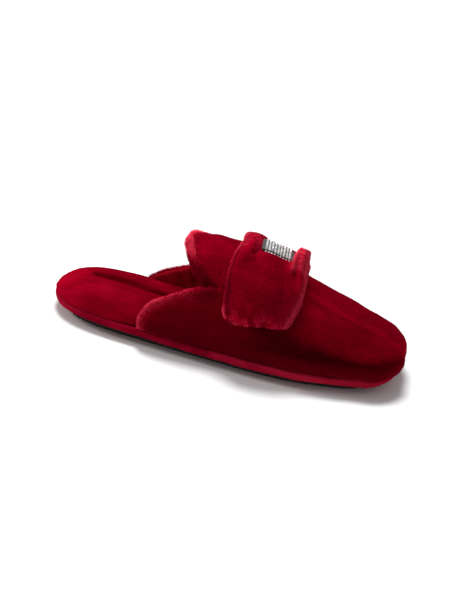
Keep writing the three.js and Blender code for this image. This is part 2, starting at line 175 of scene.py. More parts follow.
def plush_paint(name, deep, mid, lit, nap_up_and_highlight, nap_turn=0.3):
    """Cut pile: clumps of fibre, brushed streaks, patches where the nap lies the other way, and
    painted shade low on the wall.
    """
    paint = Paint(
        name,
        Sheen_Weight=0.6,
        Sheen_Roughness=0.36,
        Sheen_Tint=rgb(0.75, 0.0, 0.035),
        Specular_IOR_Level=0.0,
    )
    clumps = paint.noise(900, detail=4, rough=0.6)
    streaks = paint.noise(240, stretch=(0.35, 1.0, 1.5), turn=(0, nap_turn, 0))
    patches = paint.noise(26, detail=2, rough=0.5)
    # painted shade: the pile is darker towards the floor, low on the wall
    above_low_shade = paint.between(paint.height(), 0.016, 0.06)
    tone = (streaks * 0.2 + clumps * 0.2 + patches * 0.34 + 0.13) * (0.5 + above_low_shade * 0.5)
    # the brushed mark holds real nap patches and also painted highlights and painted shade
    tone = tone + paint.attribute("brushed") * (0.12 + streaks * 0.3 + clumps * 0.2)
    colour = paint.ramp(tone, (0.12, deep), (0.46, mid), (0.74, lit), (1.0, nap_up_and_highlight))
    normal = paint.bump(clumps, 0.0009, 0.6)
    normal = paint.bump(streaks, 0.0009, 0.35, normal)
    paint.set(Base_Color=colour, Roughness=0.82 + clumps * 0.16, Normal=normal)
    return paint.material


def velour_paint(name, deep, mid, lit):
    """Short pressed pile, smooth at arm's length."""
    paint = Paint(
        name,
        Sheen_Weight=0.45,
        Sheen_Roughness=0.35,
        Sheen_Tint=rgb(0.8, 0.0, 0.04),
        Specular_IOR_Level=0.0,
    )
    grain = paint.noise(2200, rough=0.6)
    wipe = paint.noise(90, rough=0.5, stretch=(0.5, 1.3, 1.0))
    patches = paint.noise(28, detail=2, rough=0.5)
    tone = grain * 0.3 + wipe * 0.4 + patches * 0.4 - 0.05
    # the brushed mark holds real nap patches and also painted highlights and painted shade
    tone = tone + paint.attribute("brushed") * (0.1 + grain * 0.3)
    colour = paint.ramp(tone, (0.2, deep), (0.5, mid), (0.9, lit))
    normal = paint.bump(grain, 0.0004, 0.6)
    normal = paint.bump(wipe, 0.0012, 0.35, normal)
    paint.set(Base_Color=colour, Roughness=0.78 + grain * 0.2, Normal=normal)
    return paint.material


def lining_paint():
    """Thin knitted lining inside the upper."""
    paint = Paint(
        "lining_knit",
        Sheen_Weight=0.1,
        Sheen_Tint=rgb(0.7, 0.0, 0.03),
        Specular_IOR_Level=0.05,
    )
    knit = paint.noise(1500, detail=2, rough=0.5, stretch=(1.0, 1.0, 0.4))
    wipe = paint.noise(60, rough=0.5)
    deep, lit = rgb(0.12, 0.0, 0.003), rgb(0.4, 0.001, 0.011)
    colour = paint.ramp(knit * 0.5 + wipe * 0.5, (0.25, deep), (0.75, lit))
    paint.set(Base_Color=colour, Roughness=0.9, Normal=paint.bump(knit, 0.0004, 0.7))
    return paint.material


def fibre_paint():
    """Single fibres: deep at the root as painted shade within the pile, paler and pinker at the
    tip as a painted glow of light through the fibre.
    """
    paint = Paint(
        "fibre_ends",
        Sheen_Weight=0.3,
        Sheen_Tint=rgb(0.9, 0.02, 0.08),
        Specular_IOR_Level=0.0,
    )
    speck = paint.noise(700, detail=2, rough=0.5)
    colour = paint.ramp(
        paint.attribute("shade") + speck * 0.12 - 0.06,
        (0.0, rgb(0.02, 0.0, 0.001)),
        (0.4, rgb(0.13, 0.0, 0.005)),
        (0.7, rgb(0.4, 0.002, 0.02)),
        (1.0, rgb(0.92, 0.06, 0.12)),
    )
    paint.set(Base_Color=colour, Roughness=0.85)
    return paint.material


def rubber_paint():
    """Moulded black rubber, with fine pores, dust in the grooves and rubbed ribs."""
    paint = Paint("moulded_rubber", Specular_IOR_Level=0.35)
    pores = paint.noise(3200, detail=2, rough=0.5)
    dust = paint.noise(70, detail=4, rough=0.6)
    rubbed = 1.0 - paint.between(paint.height(), 0.0, 0.0012)
    colour = paint.ramp(
        dust * 0.6 + rubbed * 0.25 + pores * 0.15,
        (0.2, rgb(0.006, 0.0075, 0.006)),
        (0.6, rgb(0.017, 0.02, 0.016)),
        (0.95, rgb(0.045, 0.048, 0.04)),
    )
    paint.set(
        Base_Color=colour,
        Roughness=0.5 + dust * 0.3 - rubbed * 0.08,
        Normal=paint.bump(pores, 0.0003, 0.5),
    )
    return paint.material


def stone_paint():
    """Cut glass, each stone a little lighter or darker than the next."""
    paint = Paint(
        "cut_stones",
        Metallic=0.12,
        Specular_IOR_Level=0.9,
        Coat_Weight=0.8,
        Coat_Roughness=0.04,
    )
    cell = paint.noise(420, detail=1, rough=0.5)
    colour = paint.ramp(
        cell,
        (0.3, rgb(0.3, 0.29, 0.28)),
        (0.5, rgb(0.66, 0.65, 0.63)),
        (0.7, rgb(0.95, 0.95, 0.94)),
    )
    paint.set(Base_Color=colour, Roughness=0.08 + cell * 0.16)
    return paint.material


def setting_paint():
    """The dark mesh that holds the stones."""
    paint = Paint("stone_setting", Specular_IOR_Level=0.5)
    speck = paint.noise(2600, detail=2, rough=0.5)
    deep, lit = rgb(0.012, 0.01, 0.012), rgb(0.09, 0.085, 0.09)
    paint.set(
        Base_Color=paint.ramp(speck, (0.35, deep), (0.8, lit)),
        Roughness=0.35 + speck * 0.3,
        Metallic=speck * 0.5,
        Normal=paint.bump(speck, 0.0003),
    )
    return paint.material


def thread_paint():
    paint = Paint("rim_thread", Sheen_Weight=0.2, Sheen_Tint=rgb(0.9, 0.2, 0.3))
    twist = paint.noise(2400, detail=2, rough=0.5)
    colour = paint.ramp(twist, (0.3, rgb(0.13, 0.002, 0.012)), (0.8, rgb(0.3, 0.006, 0.03)))
    paint.set(Base_Color=colour, Roughness=0.6 + twist * 0.2)
    return paint.material


PLUSH = plush_paint(
    "vamp_plush",
    deep=rgb(0.03, 0.0, 0.001),
    mid=rgb(0.125, 0.0, 0.004),
    lit=rgb(0.27, 0.0, 0.011),
    nap_up_and_highlight=rgb(0.6, 0.02, 0.05),
)
BOW_PLUSH = plush_paint(
    "bow_plush",
    deep=rgb(0.035, 0.0, 0.002),
    mid=rgb(0.13, 0.0, 0.005),
    lit=rgb(0.28, 0.0, 0.012),
    nap_up_and_highlight=rgb(0.65, 0.03, 0.06),
    nap_turn=0.9,
)
FOOTBED = velour_paint(
    "footbed_velour",
    deep=rgb(0.035, 0.0, 0.001),
    mid=rgb(0.125, 0.0, 0.004),
    lit=rgb(0.3, 0.001, 0.012),
)
RIM = velour_paint(
    "rim_velour",
    deep=rgb(0.06, 0.0, 0.003),
    mid=rgb(0.18, 0.0, 0.01),
    lit=rgb(0.42, 0.01, 0.034),
)
LINING = lining_paint()
FIBRE = fibre_paint()
RUBBER = rubber_paint()
STONE = stone_paint()
SETTING = setting_paint()
THREAD = thread_paint()


# ---------------------------------------------------------------- hands

WELD = 0.02  # corners of a solid nearer than this are one corner
RIDGE, RIDGE_AT = 0.35, 1.9  # cloth beside a crease: its rise by depth, its place in half widths
WAVE_GAIN = 1.6  # brings the slow bumps near to -1 and 1


def only(*pieces):
    """Selects these pieces and no others."""
    bpy.ops.object.select_all(action="DESELECT")
    for piece in pieces:
        piece.select_set(True)
    bpy.context.view_layer.objects.active = pieces[0]


def new_object(name, data):
    made = bpy.data.objects.new(name, data)
    bpy.context.scene.collection.objects.link(made)
    return made


def apply_layer(piece, kind, **settings):
    """Adds a modifier and applies it."""
    only(piece)
    layer = piece.modifiers.new(kind.lower(), kind)
    for name, value in settings.items():
        setattr(layer, name, value)
    bpy.ops.object.modifier_apply(modifier=layer.name)


def settle(piece, rounds):
    """Rounds off what stands out."""
    apply_layer(piece, "SMOOTH", factor=0.5, iterations=rounds)


def finer(piece):
    """Halves the faces and shades them smooth."""
    apply_layer(piece, "SUBSURF", levels=1, render_levels=1)
    bpy.ops.object.shade_smooth()


def soft_copy(node, name, cell, rounds):
    """A copy of a node's form in even small faces, with its hard edges settled."""
    piece = new_object(name, nodes[node].data.copy())
    piece.data.materials.clear()
    only(piece)
    bpy.ops.object.mode_set(mode="EDIT")
    bpy.ops.mesh.select_all(action="SELECT")
    bpy.ops.mesh.remove_doubles(threshold=WELD * MM)
    bpy.ops.object.mode_set(mode="OBJECT")
    piece.data.remesh_voxel_size = cell * MM
    bpy.ops.object.voxel_remesh()
    settle(piece, rounds)
    return piece


def read(items, what):
    """A value of three numbers from each vertex or face of a mesh."""
    flat = np.empty(len(items) * 3, np.float32)
    items.foreach_get(what, flat)
    return flat.reshape(-1, 3).astype(float)


def points_of(piece):
    return in_slipper(read(piece.data.vertices, "co"))


def normals_of(piece):
    return read(piece.data.vertices, "normal")


def put_points(piece, points):
    piece.data.vertices.foreach_set("co", in_scene(points).astype(np.float32).ravel())
    piece.data.update()


def mark(mesh, name, values):
    """Stores a value for each vertex, which a material can read."""
    layer = mesh.attributes.new(name, "FLOAT", "POINT")
    layer.data.foreach_set("value", values.astype(np.float32).ravel())


def unit(rows):
    return rows / (np.linalg.norm(rows, axis=1)[:, None] + 1e-9)


def distance_to(points, path):
    best = np.full(len(points), 1e9)
    for a, b in zip(path, path[1:]):
        a, b = np.array(a, float), np.array(b, float)
        share = np.clip((points - a) @ (b - a) / ((b - a) @ (b - a)), 0, 1)
        best = np.minimum(best, np.linalg.norm(points - a - share[:, None] * (b - a), axis=1))
    return best


def smooth_step(low, high, value):
    """0 at low and beyond, 1 at high and beyond; low may be the larger of the two."""
    share = np.clip((value - low) / (high - low), 0, 1)
    return share * share * (3 - 2 * share)


def waves(points, cell, seed):
    """Slow bumps between about -1 and 1."""
    shift = Vector((seed * 7.3, seed * 3.1, seed * 5.7))
    return np.array([noise.noise(Vector(p) / cell + shift) for p in points]) * WAVE_GAIN


def press(piece, creases=(), lumps=(), swell=None):
    """Moves the surface along its normals.

    A crease is (path, half width, depth), a lump is (cell, height), and swell gives millimetres
    by place and normal.
    """
    points, normals = points_of(piece), normals_of(piece)
    move = swell(points, normals) if swell else np.zeros(len(points))
    for path, width, depth in creases:
        away = distance_to(points, path) / width
        move -= depth * (np.exp(-away * away) - RIDGE * np.exp(-((away - RIDGE_AT) ** 2)))
    for seed, (cell, height) in enumerate(lumps, 1):
        move += height * waves(points, cell, seed)
    put_points(piece, points + normals * move[:, None])


def mark_nap_and_light(piece, share):
    """Marks how far the nap is brushed up, together with painted highlights and painted shade,
    from -1 to 1, by place and normal.
    """
    mark(piece.data, "brushed", np.clip(share(points_of(piece), normals_of(piece)), -1, 1))


def finish_piece(piece, slot, *materials):
    for material in materials:
        piece.data.materials.append(material)
    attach(piece, "root")


# ---------------------------------------------------------------- pile

FIBRE_WIDTH = 0.32
LENGTHS, WIDTHS = (0.6, 1.25), (0.75, 1.2)  # from the least to the most, as shares
LEAST_RISE = 0.08
ROOT_DEPTH = 0.35  # how far the roots are sunk into the cloth
CLUMP = 1.5  # size of a clump of fibres
GATHER = 0.4  # how far the tips of a clump come together
NAP_SPREAD, RISE_SPREAD, SHADE_SPREAD = 0.35, 0.12, 0.1
# painted shade at the fibre roots and a painted glow at the tips
ROOT_SHADE, TIP_SHADE = 0.7, 1.15
LYING = 0.36  # how far the nap rises from the cloth where nothing lifts it
SPIKE_FACES = ((0, 2, 1), (0, 1, 3), (1, 2, 3), (2, 0, 3))  # three root corners and the tip


def faces_of(piece):
    """Triangle corners, areas and smooth normals, in the slipper's millimetres."""
    mesh = piece.data
    mesh.calc_loop_triangles()
    corners = np.empty(len(mesh.loop_triangles) * 3, np.int32)
    mesh.loop_triangles.foreach_get("vertices", corners)
    corners = corners.reshape(-1, 3)
    points, normals = points_of(piece), normals_of(piece)
    a, b, c = (points[corners[:, i]] for i in range(3))
    area = np.linalg.norm(np.cross(b - a, c - a), axis=1) / 2
    return corners, points, normals, area


def gathered(tips, cells):
    """Tips drawn towards the middle of their clump, the tips with the same whole cells."""
    _, clump = np.unique(np.floor(cells).astype(int), axis=0, return_inverse=True)
    clump = clump.ravel()
    count = np.bincount(clump)
    middle = np.stack([np.bincount(clump, tips[:, i]) / count for i in range(3)], 1)
    return tips + (middle[clump] - tips) * GATHER


def pile(name, piece, amount, seed, density, nap, length, stand, shade):
    """Fibres on a piece. density, nap, length, stand and shade are functions of place and normal.

    nap is the way the fibres are brushed, and stand is how far they rise from the surface, from
    0 to 1. Fibres within a clump lean together.
    """
    chance = np.random.default_rng(seed)
    corners, points, normals, area = faces_of(piece)
    weight = area * density(points[corners].mean(1), normals[corners].mean(1))
    pick = chance.choice(len(corners), amount, p=weight / weight.sum())
    mix = chance.dirichlet((1, 1, 1), amount)[:, :, None]
    root = (points[corners[pick]] * mix).sum(1)
    out = unit((normals[corners[pick]] * mix).sum(1))
    brushed = nap(root, out) + chance.normal(0, NAP_SPREAD, (amount, 3))
    brushed = unit(brushed - (brushed * out).sum(1)[:, None] * out)
    rise = np.clip(stand(root, out) + chance.normal(0, RISE_SPREAD, amount), LEAST_RISE, 1)
    way = out * rise[:, None] + brushed * np.sqrt(1 - rise * rise)[:, None]
    long = length(root, out) * chance.uniform(*LENGTHS, amount)
    side = np.cross(out, brushed)
    thick = FIBRE_WIDTH * chance.uniform(*WIDTHS, amount)[:, None]
    sunk = root - out * ROOT_DEPTH
    spike = [
        sunk + side * thick * 0.5 - brushed * thick * 0.3,
        sunk - side * thick * 0.5 - brushed * thick * 0.3,
        sunk + brushed * thick * 0.6,
        gathered(root + way * long[:, None], root / CLUMP + waves(root[:1], cell=3, seed=seed)),
    ]
    verts = np.stack(spike, 1).reshape(-1, 3)
    faces = (np.arange(amount)[:, None, None] * 4 + np.array(SPIKE_FACES)).reshape(-1, 3)
    mesh = bpy.data.meshes.new(name)
    mesh.vertices.add(len(verts))
    mesh.vertices.foreach_set("co", in_scene(verts).astype(np.float32).ravel())
    mesh.loops.add(len(faces) * 3)
    mesh.loops.foreach_set("vertex_index", faces.astype(np.int32).ravel())
    mesh.polygons.add(len(faces))
    mesh.polygons.foreach_set("loop_start", np.arange(len(faces), dtype=np.int32) * 3)
    mesh.update(calc_edges=True)
    tone = np.clip(shade(root, out) + chance.normal(0, SHADE_SPREAD, amount), 0, 1)
    mark(mesh, "shade", np.stack([tone * ROOT_SHADE] * 3 + [np.clip(tone * TIP_SHADE, 0, 1)], 1))
    return new_object(name, mesh)


# ---------------------------------------------------------------- upper

FOOT_FROM, FOOT_TO, FOOT_AXIS = 40, 205, (-2, 20)  # a line inside the shoe: x ends, and (y, z)
LINED_FROM = -0.25  # surfaces that look further inwards than this are lined
PILE_FOOT = 14.6  # no pile grows below this height, where the upper meets the rim
UPPER_FIBRES, UPPER_SEED = 46000, 11

LATERAL_EDGE = [
    (73, -51, 17), (74, -53, 28), (80, -53, 38), (92, -52, 47), (108, -48, 52), (124, -43, 55)
]
MEDIAL_EDGE = [(61, 41, 17), (66, 42, 24), (80, 44, 29), (93, 45, 35), (124, 42, 55)]
TONGUE_EDGE = [
    (124, -40, 56), (112, -34, 64), (101, -22, 73), (95, -6, 78),
    (95, 4, 78), (101, 22, 73), (112, 34, 64),
]
TOE_RIDGE = [(192, -3, 52), (250, -4, 35)]  # a painted highlight runs along the middle of the toe

UPPER_CREASES = [
    # over the toes
    ([(196, -4, 52), (199, 12, 50), (200, 26, 44)], 4.5, 0.8),
    ([(238, -14, 37), (244, -24, 30), (247, -30, 24)], 4.0, 0.7),
    ([(236, 10, 39), (243, 24, 33), (247, 33, 26)], 4.5, 0.8),
    # down the lateral wall
    ([(128, -46, 40), (131, -52, 30), (130, -55, 22)], 4.0, 0.8),
    ([(186, -46, 34), (192, -52, 26), (196, -55, 19)], 4.5, 0.7),
    ([(104, -44, 44), (106, -51, 33)], 4.0, 0.5),
    # gathers inside the medial wing
    ([(76, 37, 26), (82, 38, 20)], 1.8, 0.9),
    ([(86, 37, 32), (91, 38, 20)], 2.0, 1.1),
    ([(97, 37, 36), (100, 38, 21)], 2.2, 1.1),
    ([(107, 36, 40), (110, 38, 22)], 2.4, 1.0),
    ([(118, 36, 42), (120, 38, 23)], 2.4, 0.9),
    # a fuller tip of the tongue
    ([(93, -16, 78), (92, -2, 80), (93, 10, 79)], 4.5, -1.6),
]


def facing_out(points, normals):
    """How far a surface looks away from the foot: 1 outwards, -1 inwards."""
    axis = points.copy()
    axis[:, 0] = np.clip(points[:, 0], FOOT_FROM, FOOT_TO)
    axis[:, 1:] = FOOT_AXIS
    return (unit(points - axis) * normals).sum(1)


def edge_of_upper(points, reach=9):
    """How near a place is to the open edge: 1 on it, 0 from reach."""
    away = [distance_to(points, path) for path in (LATERAL_EDGE, MEDIAL_EDGE, TONGUE_EDGE)]
    return smooth_step(reach, 2, np.min(away, 0))


def lit_edge(points):
    """How strong the painted highlight on the fuzz at the open edge is: most behind the wings and
    round the tongue's tip.
    """
    x, y, z = points.T
    wing = smooth_step(57, 50, z) * (0.5 + 0.7 * smooth_step(104, 82, x))
    wing *= np.where(y > 0, 0.35, 1.0)
    tongue = 0.8 * smooth_step(65, 76, z) * edge_of_upper(points, 8)
    behind_bow = smooth_step(130, 108, x)
    return edge_of_upper(points, 13) ** 1.3 * np.maximum(wing, tongue) * behind_bow


def pull_in(points):
    """Edges of the upper drawn back by the length of the pile that stands on them."""
    x, _, z = points.T
    moved = points.copy()
    moved[:, 0] += 1.6 * smooth_step(84, 70, x) + 1.4 * smooth_step(112, 98, x) * (z > 58)
    moved[:, 2] -= 1.2 * smooth_step(66, 76, z) * smooth_step(120, 102, x)
    moved[:, 2] -= 0.6 * smooth_step(216, 240, x) * smooth_step(24, 34, z)
    return moved


def upper_swell(points, normals):
    """Fuller on the wings, the instep and the toe, whose lateral corner hangs over the rim."""
    x, y, z = points.T
    facing = facing_out(points, normals)
    out = smooth_step(-0.1, 0.5, facing)
    wings = smooth_step(128, 96, x) * smooth_step(66, 50, z)
    wings *= smooth_step(-0.7, -0.1, normals[:, 0])
    toe = smooth_step(232, 262, x) * smooth_step(32, 20, z)
    corner = smooth_step(236, 254, x) * smooth_step(0, -20, y) * smooth_step(38, 28, z)
    top = smooth_step(0.3, 0.85, normals[:, 2])
    crown = 0.9 * smooth_step(122, 136, x)
    crown += 2.0 * smooth_step(100, 114, x) * smooth_step(150, 134, x)
    tongue = smooth_step(126, 106, x) * smooth_step(56, 64, z)
    under = smooth_step(0.1, -0.5, facing) * tongue
    return out * (-0.5 + 2.0 * wings + 2.1 * toe + crown * top + 4.0 * corner) + 1.4 * under


def upper_nap_and_light(points, normals):
    """Painted highlight at the open edge, on the wing tops, along the toe and at its tip, lighter
    nap in patches, and painted shade on the toe's lateral flank.
    """
    x, y, z = points.T
    up = normals[:, 2]
    wings = smooth_step(0.1, 0.6, up) * smooth_step(58, 52, z) * smooth_step(128, 112, x)
    ridge = smooth_step(8, 2, distance_to(points, TOE_RIDGE))
    tip = smooth_step(256, 268, x)
    patches = smooth_step(0.2, 0.7, waves(points, cell=16, seed=5))
    flank = smooth_step(0.75, 0.45, up) * smooth_step(20, 28, z) * smooth_step(140, 170, x)
    flank *= y < 0
    light = 0.85 * lit_edge(points) + 0.4 * wings + 0.35 * ridge + 0.15 * tip + 0.18 * patches
    return light - 0.5 * flank


def upper_density(points, normals):
    """Closest at the open edge; none on the lining or where the upper meets the rim."""
    grows = (facing_out(points, normals) > -0.05) & (points[:, 2] >= PILE_FOOT)
    return np.where(grows, 1.0 + 4.0 * edge_of_upper(points), 0.0)


def upper_nap(points, normals):
    """Brushed down and forward, and out over the open edge beside it."""
    edge = edge_of_upper(points, 7)
    return np.stack([0.55 - 1.5 * edge, 0.1 * np.sign(points[:, 1]), -0.75 + 1.2 * edge], 1)


def upper_shade(points, normals):
    """Painted highlight at the open edge, lighter tufts along the rim, and painted shade low on
    the wall.
    """
    z = points[:, 2]
    tufts = smooth_step(20, 16.5, z) * smooth_step(0.0, 0.5, waves(points, cell=12, seed=2))
    return 0.42 + 0.2 * tufts + 0.62 * lit_edge(points) - 0.18 * smooth_step(46, 18, z)


upper = soft_copy("upper", "upper_plush", cell=1.9, rounds=4)
put_points(upper, pull_in(points_of(upper)))
press(upper, swell=upper_swell)
settle(upper, 5)
press(upper, UPPER_CREASES, [(34, 0.5), (13, 0.22)])
finer(upper)
mark_nap_and_light(upper, upper_nap_and_light)
finish_piece(upper, "plush", PLUSH, LINING)
upper_faces = upper.data.polygons
facing = facing_out(in_slipper(read(upper_faces, "center")), read(upper_faces, "normal"))
upper_faces.foreach_set("material_index", (facing < LINED_FROM).astype(np.int32))
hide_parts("upper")

upper_fibres = pile(
    "upper_pile",
    upper,
    UPPER_FIBRES,
    UPPER_SEED,
    density=upper_density,
    nap=upper_nap,
    length=lambda p, n: 1.4 + 1.8 * edge_of_upper(p, 7) + 0.7 * smooth_step(22, 17, p[:, 2]),
    stand=lambda p, n: LYING + 0.55 * edge_of_upper(p, 7),
    shade=upper_shade,
)
finish_piece(upper_fibres, "plush", FIBRE)


# ---------------------------------------------------------------- bow

BOW_MIDDLE = 163.4  # x of the ribbon's middle line
BOW_AXIS = 82  # height from which the reach along a loop is measured
BOW_BASE = 79  # the gathered ribbon is pressed down towards this height
PUFF_OFF, PUFF_HEIGHT = 17.5, 84  # middle of the puffs on both sides of the strip
# strength of the painted highlight on the puffs, by side of the strip
PUFF_LIGHT = {"heel": 0.65, "toe": 1.7}
EDGE_STEPS, NEAR_STEP = np.arange(12.0, 80.0, 3.0), 2.5  # reaches where the edges are looked for
HALF_RIBBON = 25.0  # taken for an edge where none is found
PLUMP = 0.7  # how far a loop is filled out once it has settled
LOOP_FIBRES = 30000
LOOP_SEED = {"lateral": 23, "medial": 29}


def along_ribbon(points):
    """How far out along its loop a place is, and how far off the ribbon's middle line."""
    return np.hypot(points[:, 1], points[:, 2] - BOW_AXIS), points[:, 0] - BOW_MIDDLE


def drawn_in(points):
    """The ribbon drawn in by the length of its pile, at the corners of its fold and the strip."""
    y, z = points[:, 1], points[:, 2]
    reach, off = along_ribbon(points)
    fold = smooth_step(24, 70, reach)
    rounding = np.clip((reach - 58) / 18, 0, 1.2) ** 2
    toe_side = 0.82 - 0.15 * smooth_step(34, 72, reach) - 0.14 * rounding
    toe_side -= 0.07 * smooth_step(30, 12, reach) + 0.1 * smooth_step(8, 24, y)
    outer = np.maximum(smooth_step(10, 56, reach), smooth_step(12, 25, off))
    toe_side = 1 - (1 - toe_side) * outer
    heel_side = 0.97 - 0.12 * fold - 0.1 * rounding
    moved = points.copy()
    moved[:, 0] = BOW_MIDDLE + off * np.where(off > 0, toe_side, heel_side)
    moved[:, 1] *= 1 - 0.035 * fold
    moved[:, 2] += 2.4 * smooth_step(60, 76, reach)
    high = np.maximum(z - BOW_BASE, 0)
    steep = smooth_step(-20, -16, off) * smooth_step(0, -6, off)
    moved[:, 2] -= (0.34 + 0.24 * smooth_step(-6, -16, off) + 0.75 * steep) * high
    behind_strip = smooth_step(12, 17, y) * smooth_step(52, 36, y)
    moved[:, 2] -= 6.0 * behind_strip * smooth_step(21, 14, np.abs(off))
    cinched = smooth_step(-3, 4, y) * smooth_step(20, 13, y)
    moved[:, 2] -= 5.5 * cinched * smooth_step(-24, -17, off) * smooth_step(0, -8, off)
    return moved


def loop_swell(points, normals):
    """Thickness of the pile, and the crown of the stuffed face between its two edges."""
    out = smooth_step(-0.3, 0.6, facing_out(points, normals))
    reach, off = along_ribbon(points)
    across = np.clip((off + 1) / 24, -1, 1)
    return 0.6 + 1.2 * out + 2.4 * out * (1 - across * across) * smooth_step(30, 50, reach)


def at_edge(normals):
    """1 on the two long edges of the ribbon, where the fibres stand."""
    return smooth_step(0.08, 0.95, np.abs(normals[:, 0]))


def puffs(points):
    """How much painted highlight the gathered puffs beside the strip get."""
    off = points[:, 0] - BOW_MIDDLE
    light = np.where(off < 0, PUFF_LIGHT["heel"], PUFF_LIGHT["toe"])
    away = np.hypot(np.abs(off) - PUFF_OFF, (points[:, 2] - PUFF_HEIGHT) * 0.8)
    return light * smooth_step(14, 5, away) * smooth_step(28, 14, np.abs(points[:, 1]))


def mussed(points):
    """The patch above the fold where the nap is rubbed the wrong way."""
    x, y, z = points.T
    patch = smooth_step(-0.4, 0.35, waves(points, cell=6, seed=8))
    patch *= smooth_step(20, 6, x - BOW_MIDDLE)
    return smooth_step(60, 48, z) * patch * smooth_step(36, 46, np.abs(y))


def loop_nap(points, normals):
    """Brushed down towards the fold, and out over the long edges."""
    edge = at_edge(normals)
    across = (points[:, 0] - BOW_MIDDLE) / 28 * (0.5 + 1.2 * edge)
    return np.stack([across, 0.2 * np.sign(points[:, 1]), -0.8 + 0.6 * edge], 1)


def bow_loop(side):
    """One loop of the bow: its stuffed ribbon and the pile on it."""
    loop = soft_copy(f"bow_loop_{side}", f"bow_{side}", cell=1.5, rounds=3)
    put_points(loop, drawn_in(points_of(loop)))
    press(loop, swell=loop_swell)
    settle(loop, 9)
    press(loop, [], [(22, 0.4), (9, 0.15)], lambda p, n: np.full(len(p), PLUMP))
    finer(loop)
    loop_reach, loop_off = along_ribbon(points_of(loop))
    near = [loop_off[np.abs(loop_reach - step) < NEAR_STEP] for step in EDGE_STEPS]
    toe_edge = [row.max() if len(row) else HALF_RIBBON for row in near]
    heel_edge = [row.min() if len(row) else -HALF_RIBBON for row in near]

    def inset(points):
        """How far a place is from the nearer long edge of the ribbon."""
        reach, off = along_ribbon(points)
        from_toe = np.interp(reach, EDGE_STEPS, toe_edge) - off
        return np.minimum(from_toe, off - np.interp(reach, EDGE_STEPS, heel_edge))

    def band(points, normals):
        """A painted highlight on the fibre ends down each long edge and on the ribbon's side
        faces, fading down the heel side.
        """
        off = points[:, 0] - BOW_MIDDLE
        fade = np.where(off < 0, 0.04 + 0.8 * smooth_step(62, 86, points[:, 2]), 0.95)
        outward = smooth_step(8, 16, off * np.sign(normals[:, 0]))
        side_face = smooth_step(0.02, 0.85, np.abs(normals[:, 0])) * outward
        return np.maximum(side_face, 0.75 * smooth_step(9, 1, inset(points))) * fade

    # painted highlight on the ribbon's edges and puffs, with the real mussed patch
    mark_nap_and_light(loop, lambda p, n: 0.5 * band(p, n) + 0.7 * puffs(p) + 0.6 * mussed(p))
    finish_piece(loop, "bow_plush", BOW_PLUSH)
    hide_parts(f"bow_loop_{side}")

    fibres = pile(
        f"bow_pile_{side}",
        loop,
        LOOP_FIBRES,
        LOOP_SEED[side],
        density=lambda p, n: 1.0 + 3.0 * at_edge(n),
        nap=loop_nap,
        length=lambda p, n: 1.5 + 1.3 * at_edge(n) + 0.5 * mussed(p),
        stand=lambda p, n: LYING + 0.5 * at_edge(n) + 0.25 * mussed(p),
        # the fibre ends get the same painted highlight on the edges and puffs
        shade=lambda p, n: 0.4 + 0.46 * band(p, n) + 0.38 * puffs(p) + 0.48 * mussed(p),
    )
    finish_piece(fibres, "bow_plush", FIBRE)


bow_loop("lateral")
bow_loop("medial")


# ---------------------------------------------------------------- footbed, rim and rubber

TROUGH = [(27, 13, 22), (38, 14.5, 22), (52, 14.5, 21), (66, 13, 20), (80, 11, 19)]
TROUGH_RIDGE = [(24, 8.5, 22.5), (38, 10, 22.5), (52, 10, 22), (66, 8.5, 21)]

RIM_WRINKLES = [
    ([(263, -28, 6), (266, -27, 15)], 1.6, 0.5),
    ([(268, -14, 7), (268, -11, 15)], 1.8, 0.6),
    ([(268, 2, 6), (268, 5, 15)], 1.5, 0.45),
    ([(266, 18, 7), (265, 22, 15)], 1.7, 0.5),
    ([(250, -42, 7), (252, -42, 14)], 1.6, 0.4),
    ([(3, -12, 7), (3, -9, 14)], 1.6, 0.4),
    ([(6, 22, 8), (7, 20, 14)], 1.6, 0.4),
]


def footbed_swell(points, normals):
    """A fuller edge round the heel."""
    return 1.3 * smooth_step(0.8, 0.2, normals[:, 2]) * smooth_step(66, 54, points[:, 0])


def footbed_nap_and_light(points, normals):
    """Painted highlight at the heel and down the edge, lighter in patches, and painted shade in
    the trough.
    """
    heel = smooth_step(38, 6, points[:, 0])
    edge = smooth_step(0.9, 0.45, normals[:, 2])
    trough = smooth_step(5.5, 1.5, distance_to(points, TROUGH))
    patches = smooth_step(0.1, 0.6, waves(points, cell=22, seed=3))
    return 0.9 * heel + 0.4 * edge - 0.9 * trough + 0.35 * patches


def rim_swell(points, normals):
    """The lateral corner of the toe filled out, as the upper is above it."""
    x, y, _ = points.T
    corner = smooth_step(236, 254, x) * smooth_step(0, -20, y)
    return 2.2 * corner * smooth_step(0.6, 0.2, normals[:, 2])


def rim_nap_and_light(points, normals):
    """Painted highlight at the top edge, the heel and the front half, and lighter in patches."""
    x, _, z = points.T
    ends = 0.75 * smooth_step(40, 6, x) + 0.85 * smooth_step(120, 190, x)
    patches = smooth_step(0.2, 0.7, waves(points, cell=12, seed=4))
    return 0.4 * smooth_step(10, 13, z) + ends + 0.3 * patches


footbed = soft_copy("insole", "footbed_pad", cell=1.9, rounds=5)
press(footbed, [(TROUGH, 2.6, 1.9), (TROUGH_RIDGE, 1.5, -0.6)], [(30, 0.3)], footbed_swell)
finer(footbed)
mark_nap_and_light(footbed, footbed_nap_and_light)
finish_piece(footbed, "footbed_velour", FOOTBED)
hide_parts("insole")

rim = soft_copy("midsole", "rim_wrap", cell=1.9, rounds=3)
press(rim, RIM_WRINKLES, [(16, 0.3), (6, 0.14)], rim_swell)
finer(rim)
mark_nap_and_light(rim, rim_nap_and_light)
finish_piece(rim, "rim_velour", RIM)
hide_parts("midsole")

rubber = nodes["outsole"]
rubber.data.materials.clear()
rubber.data.materials.append(RUBBER)


# ---------------------------------------------------------------- stitches under the rim

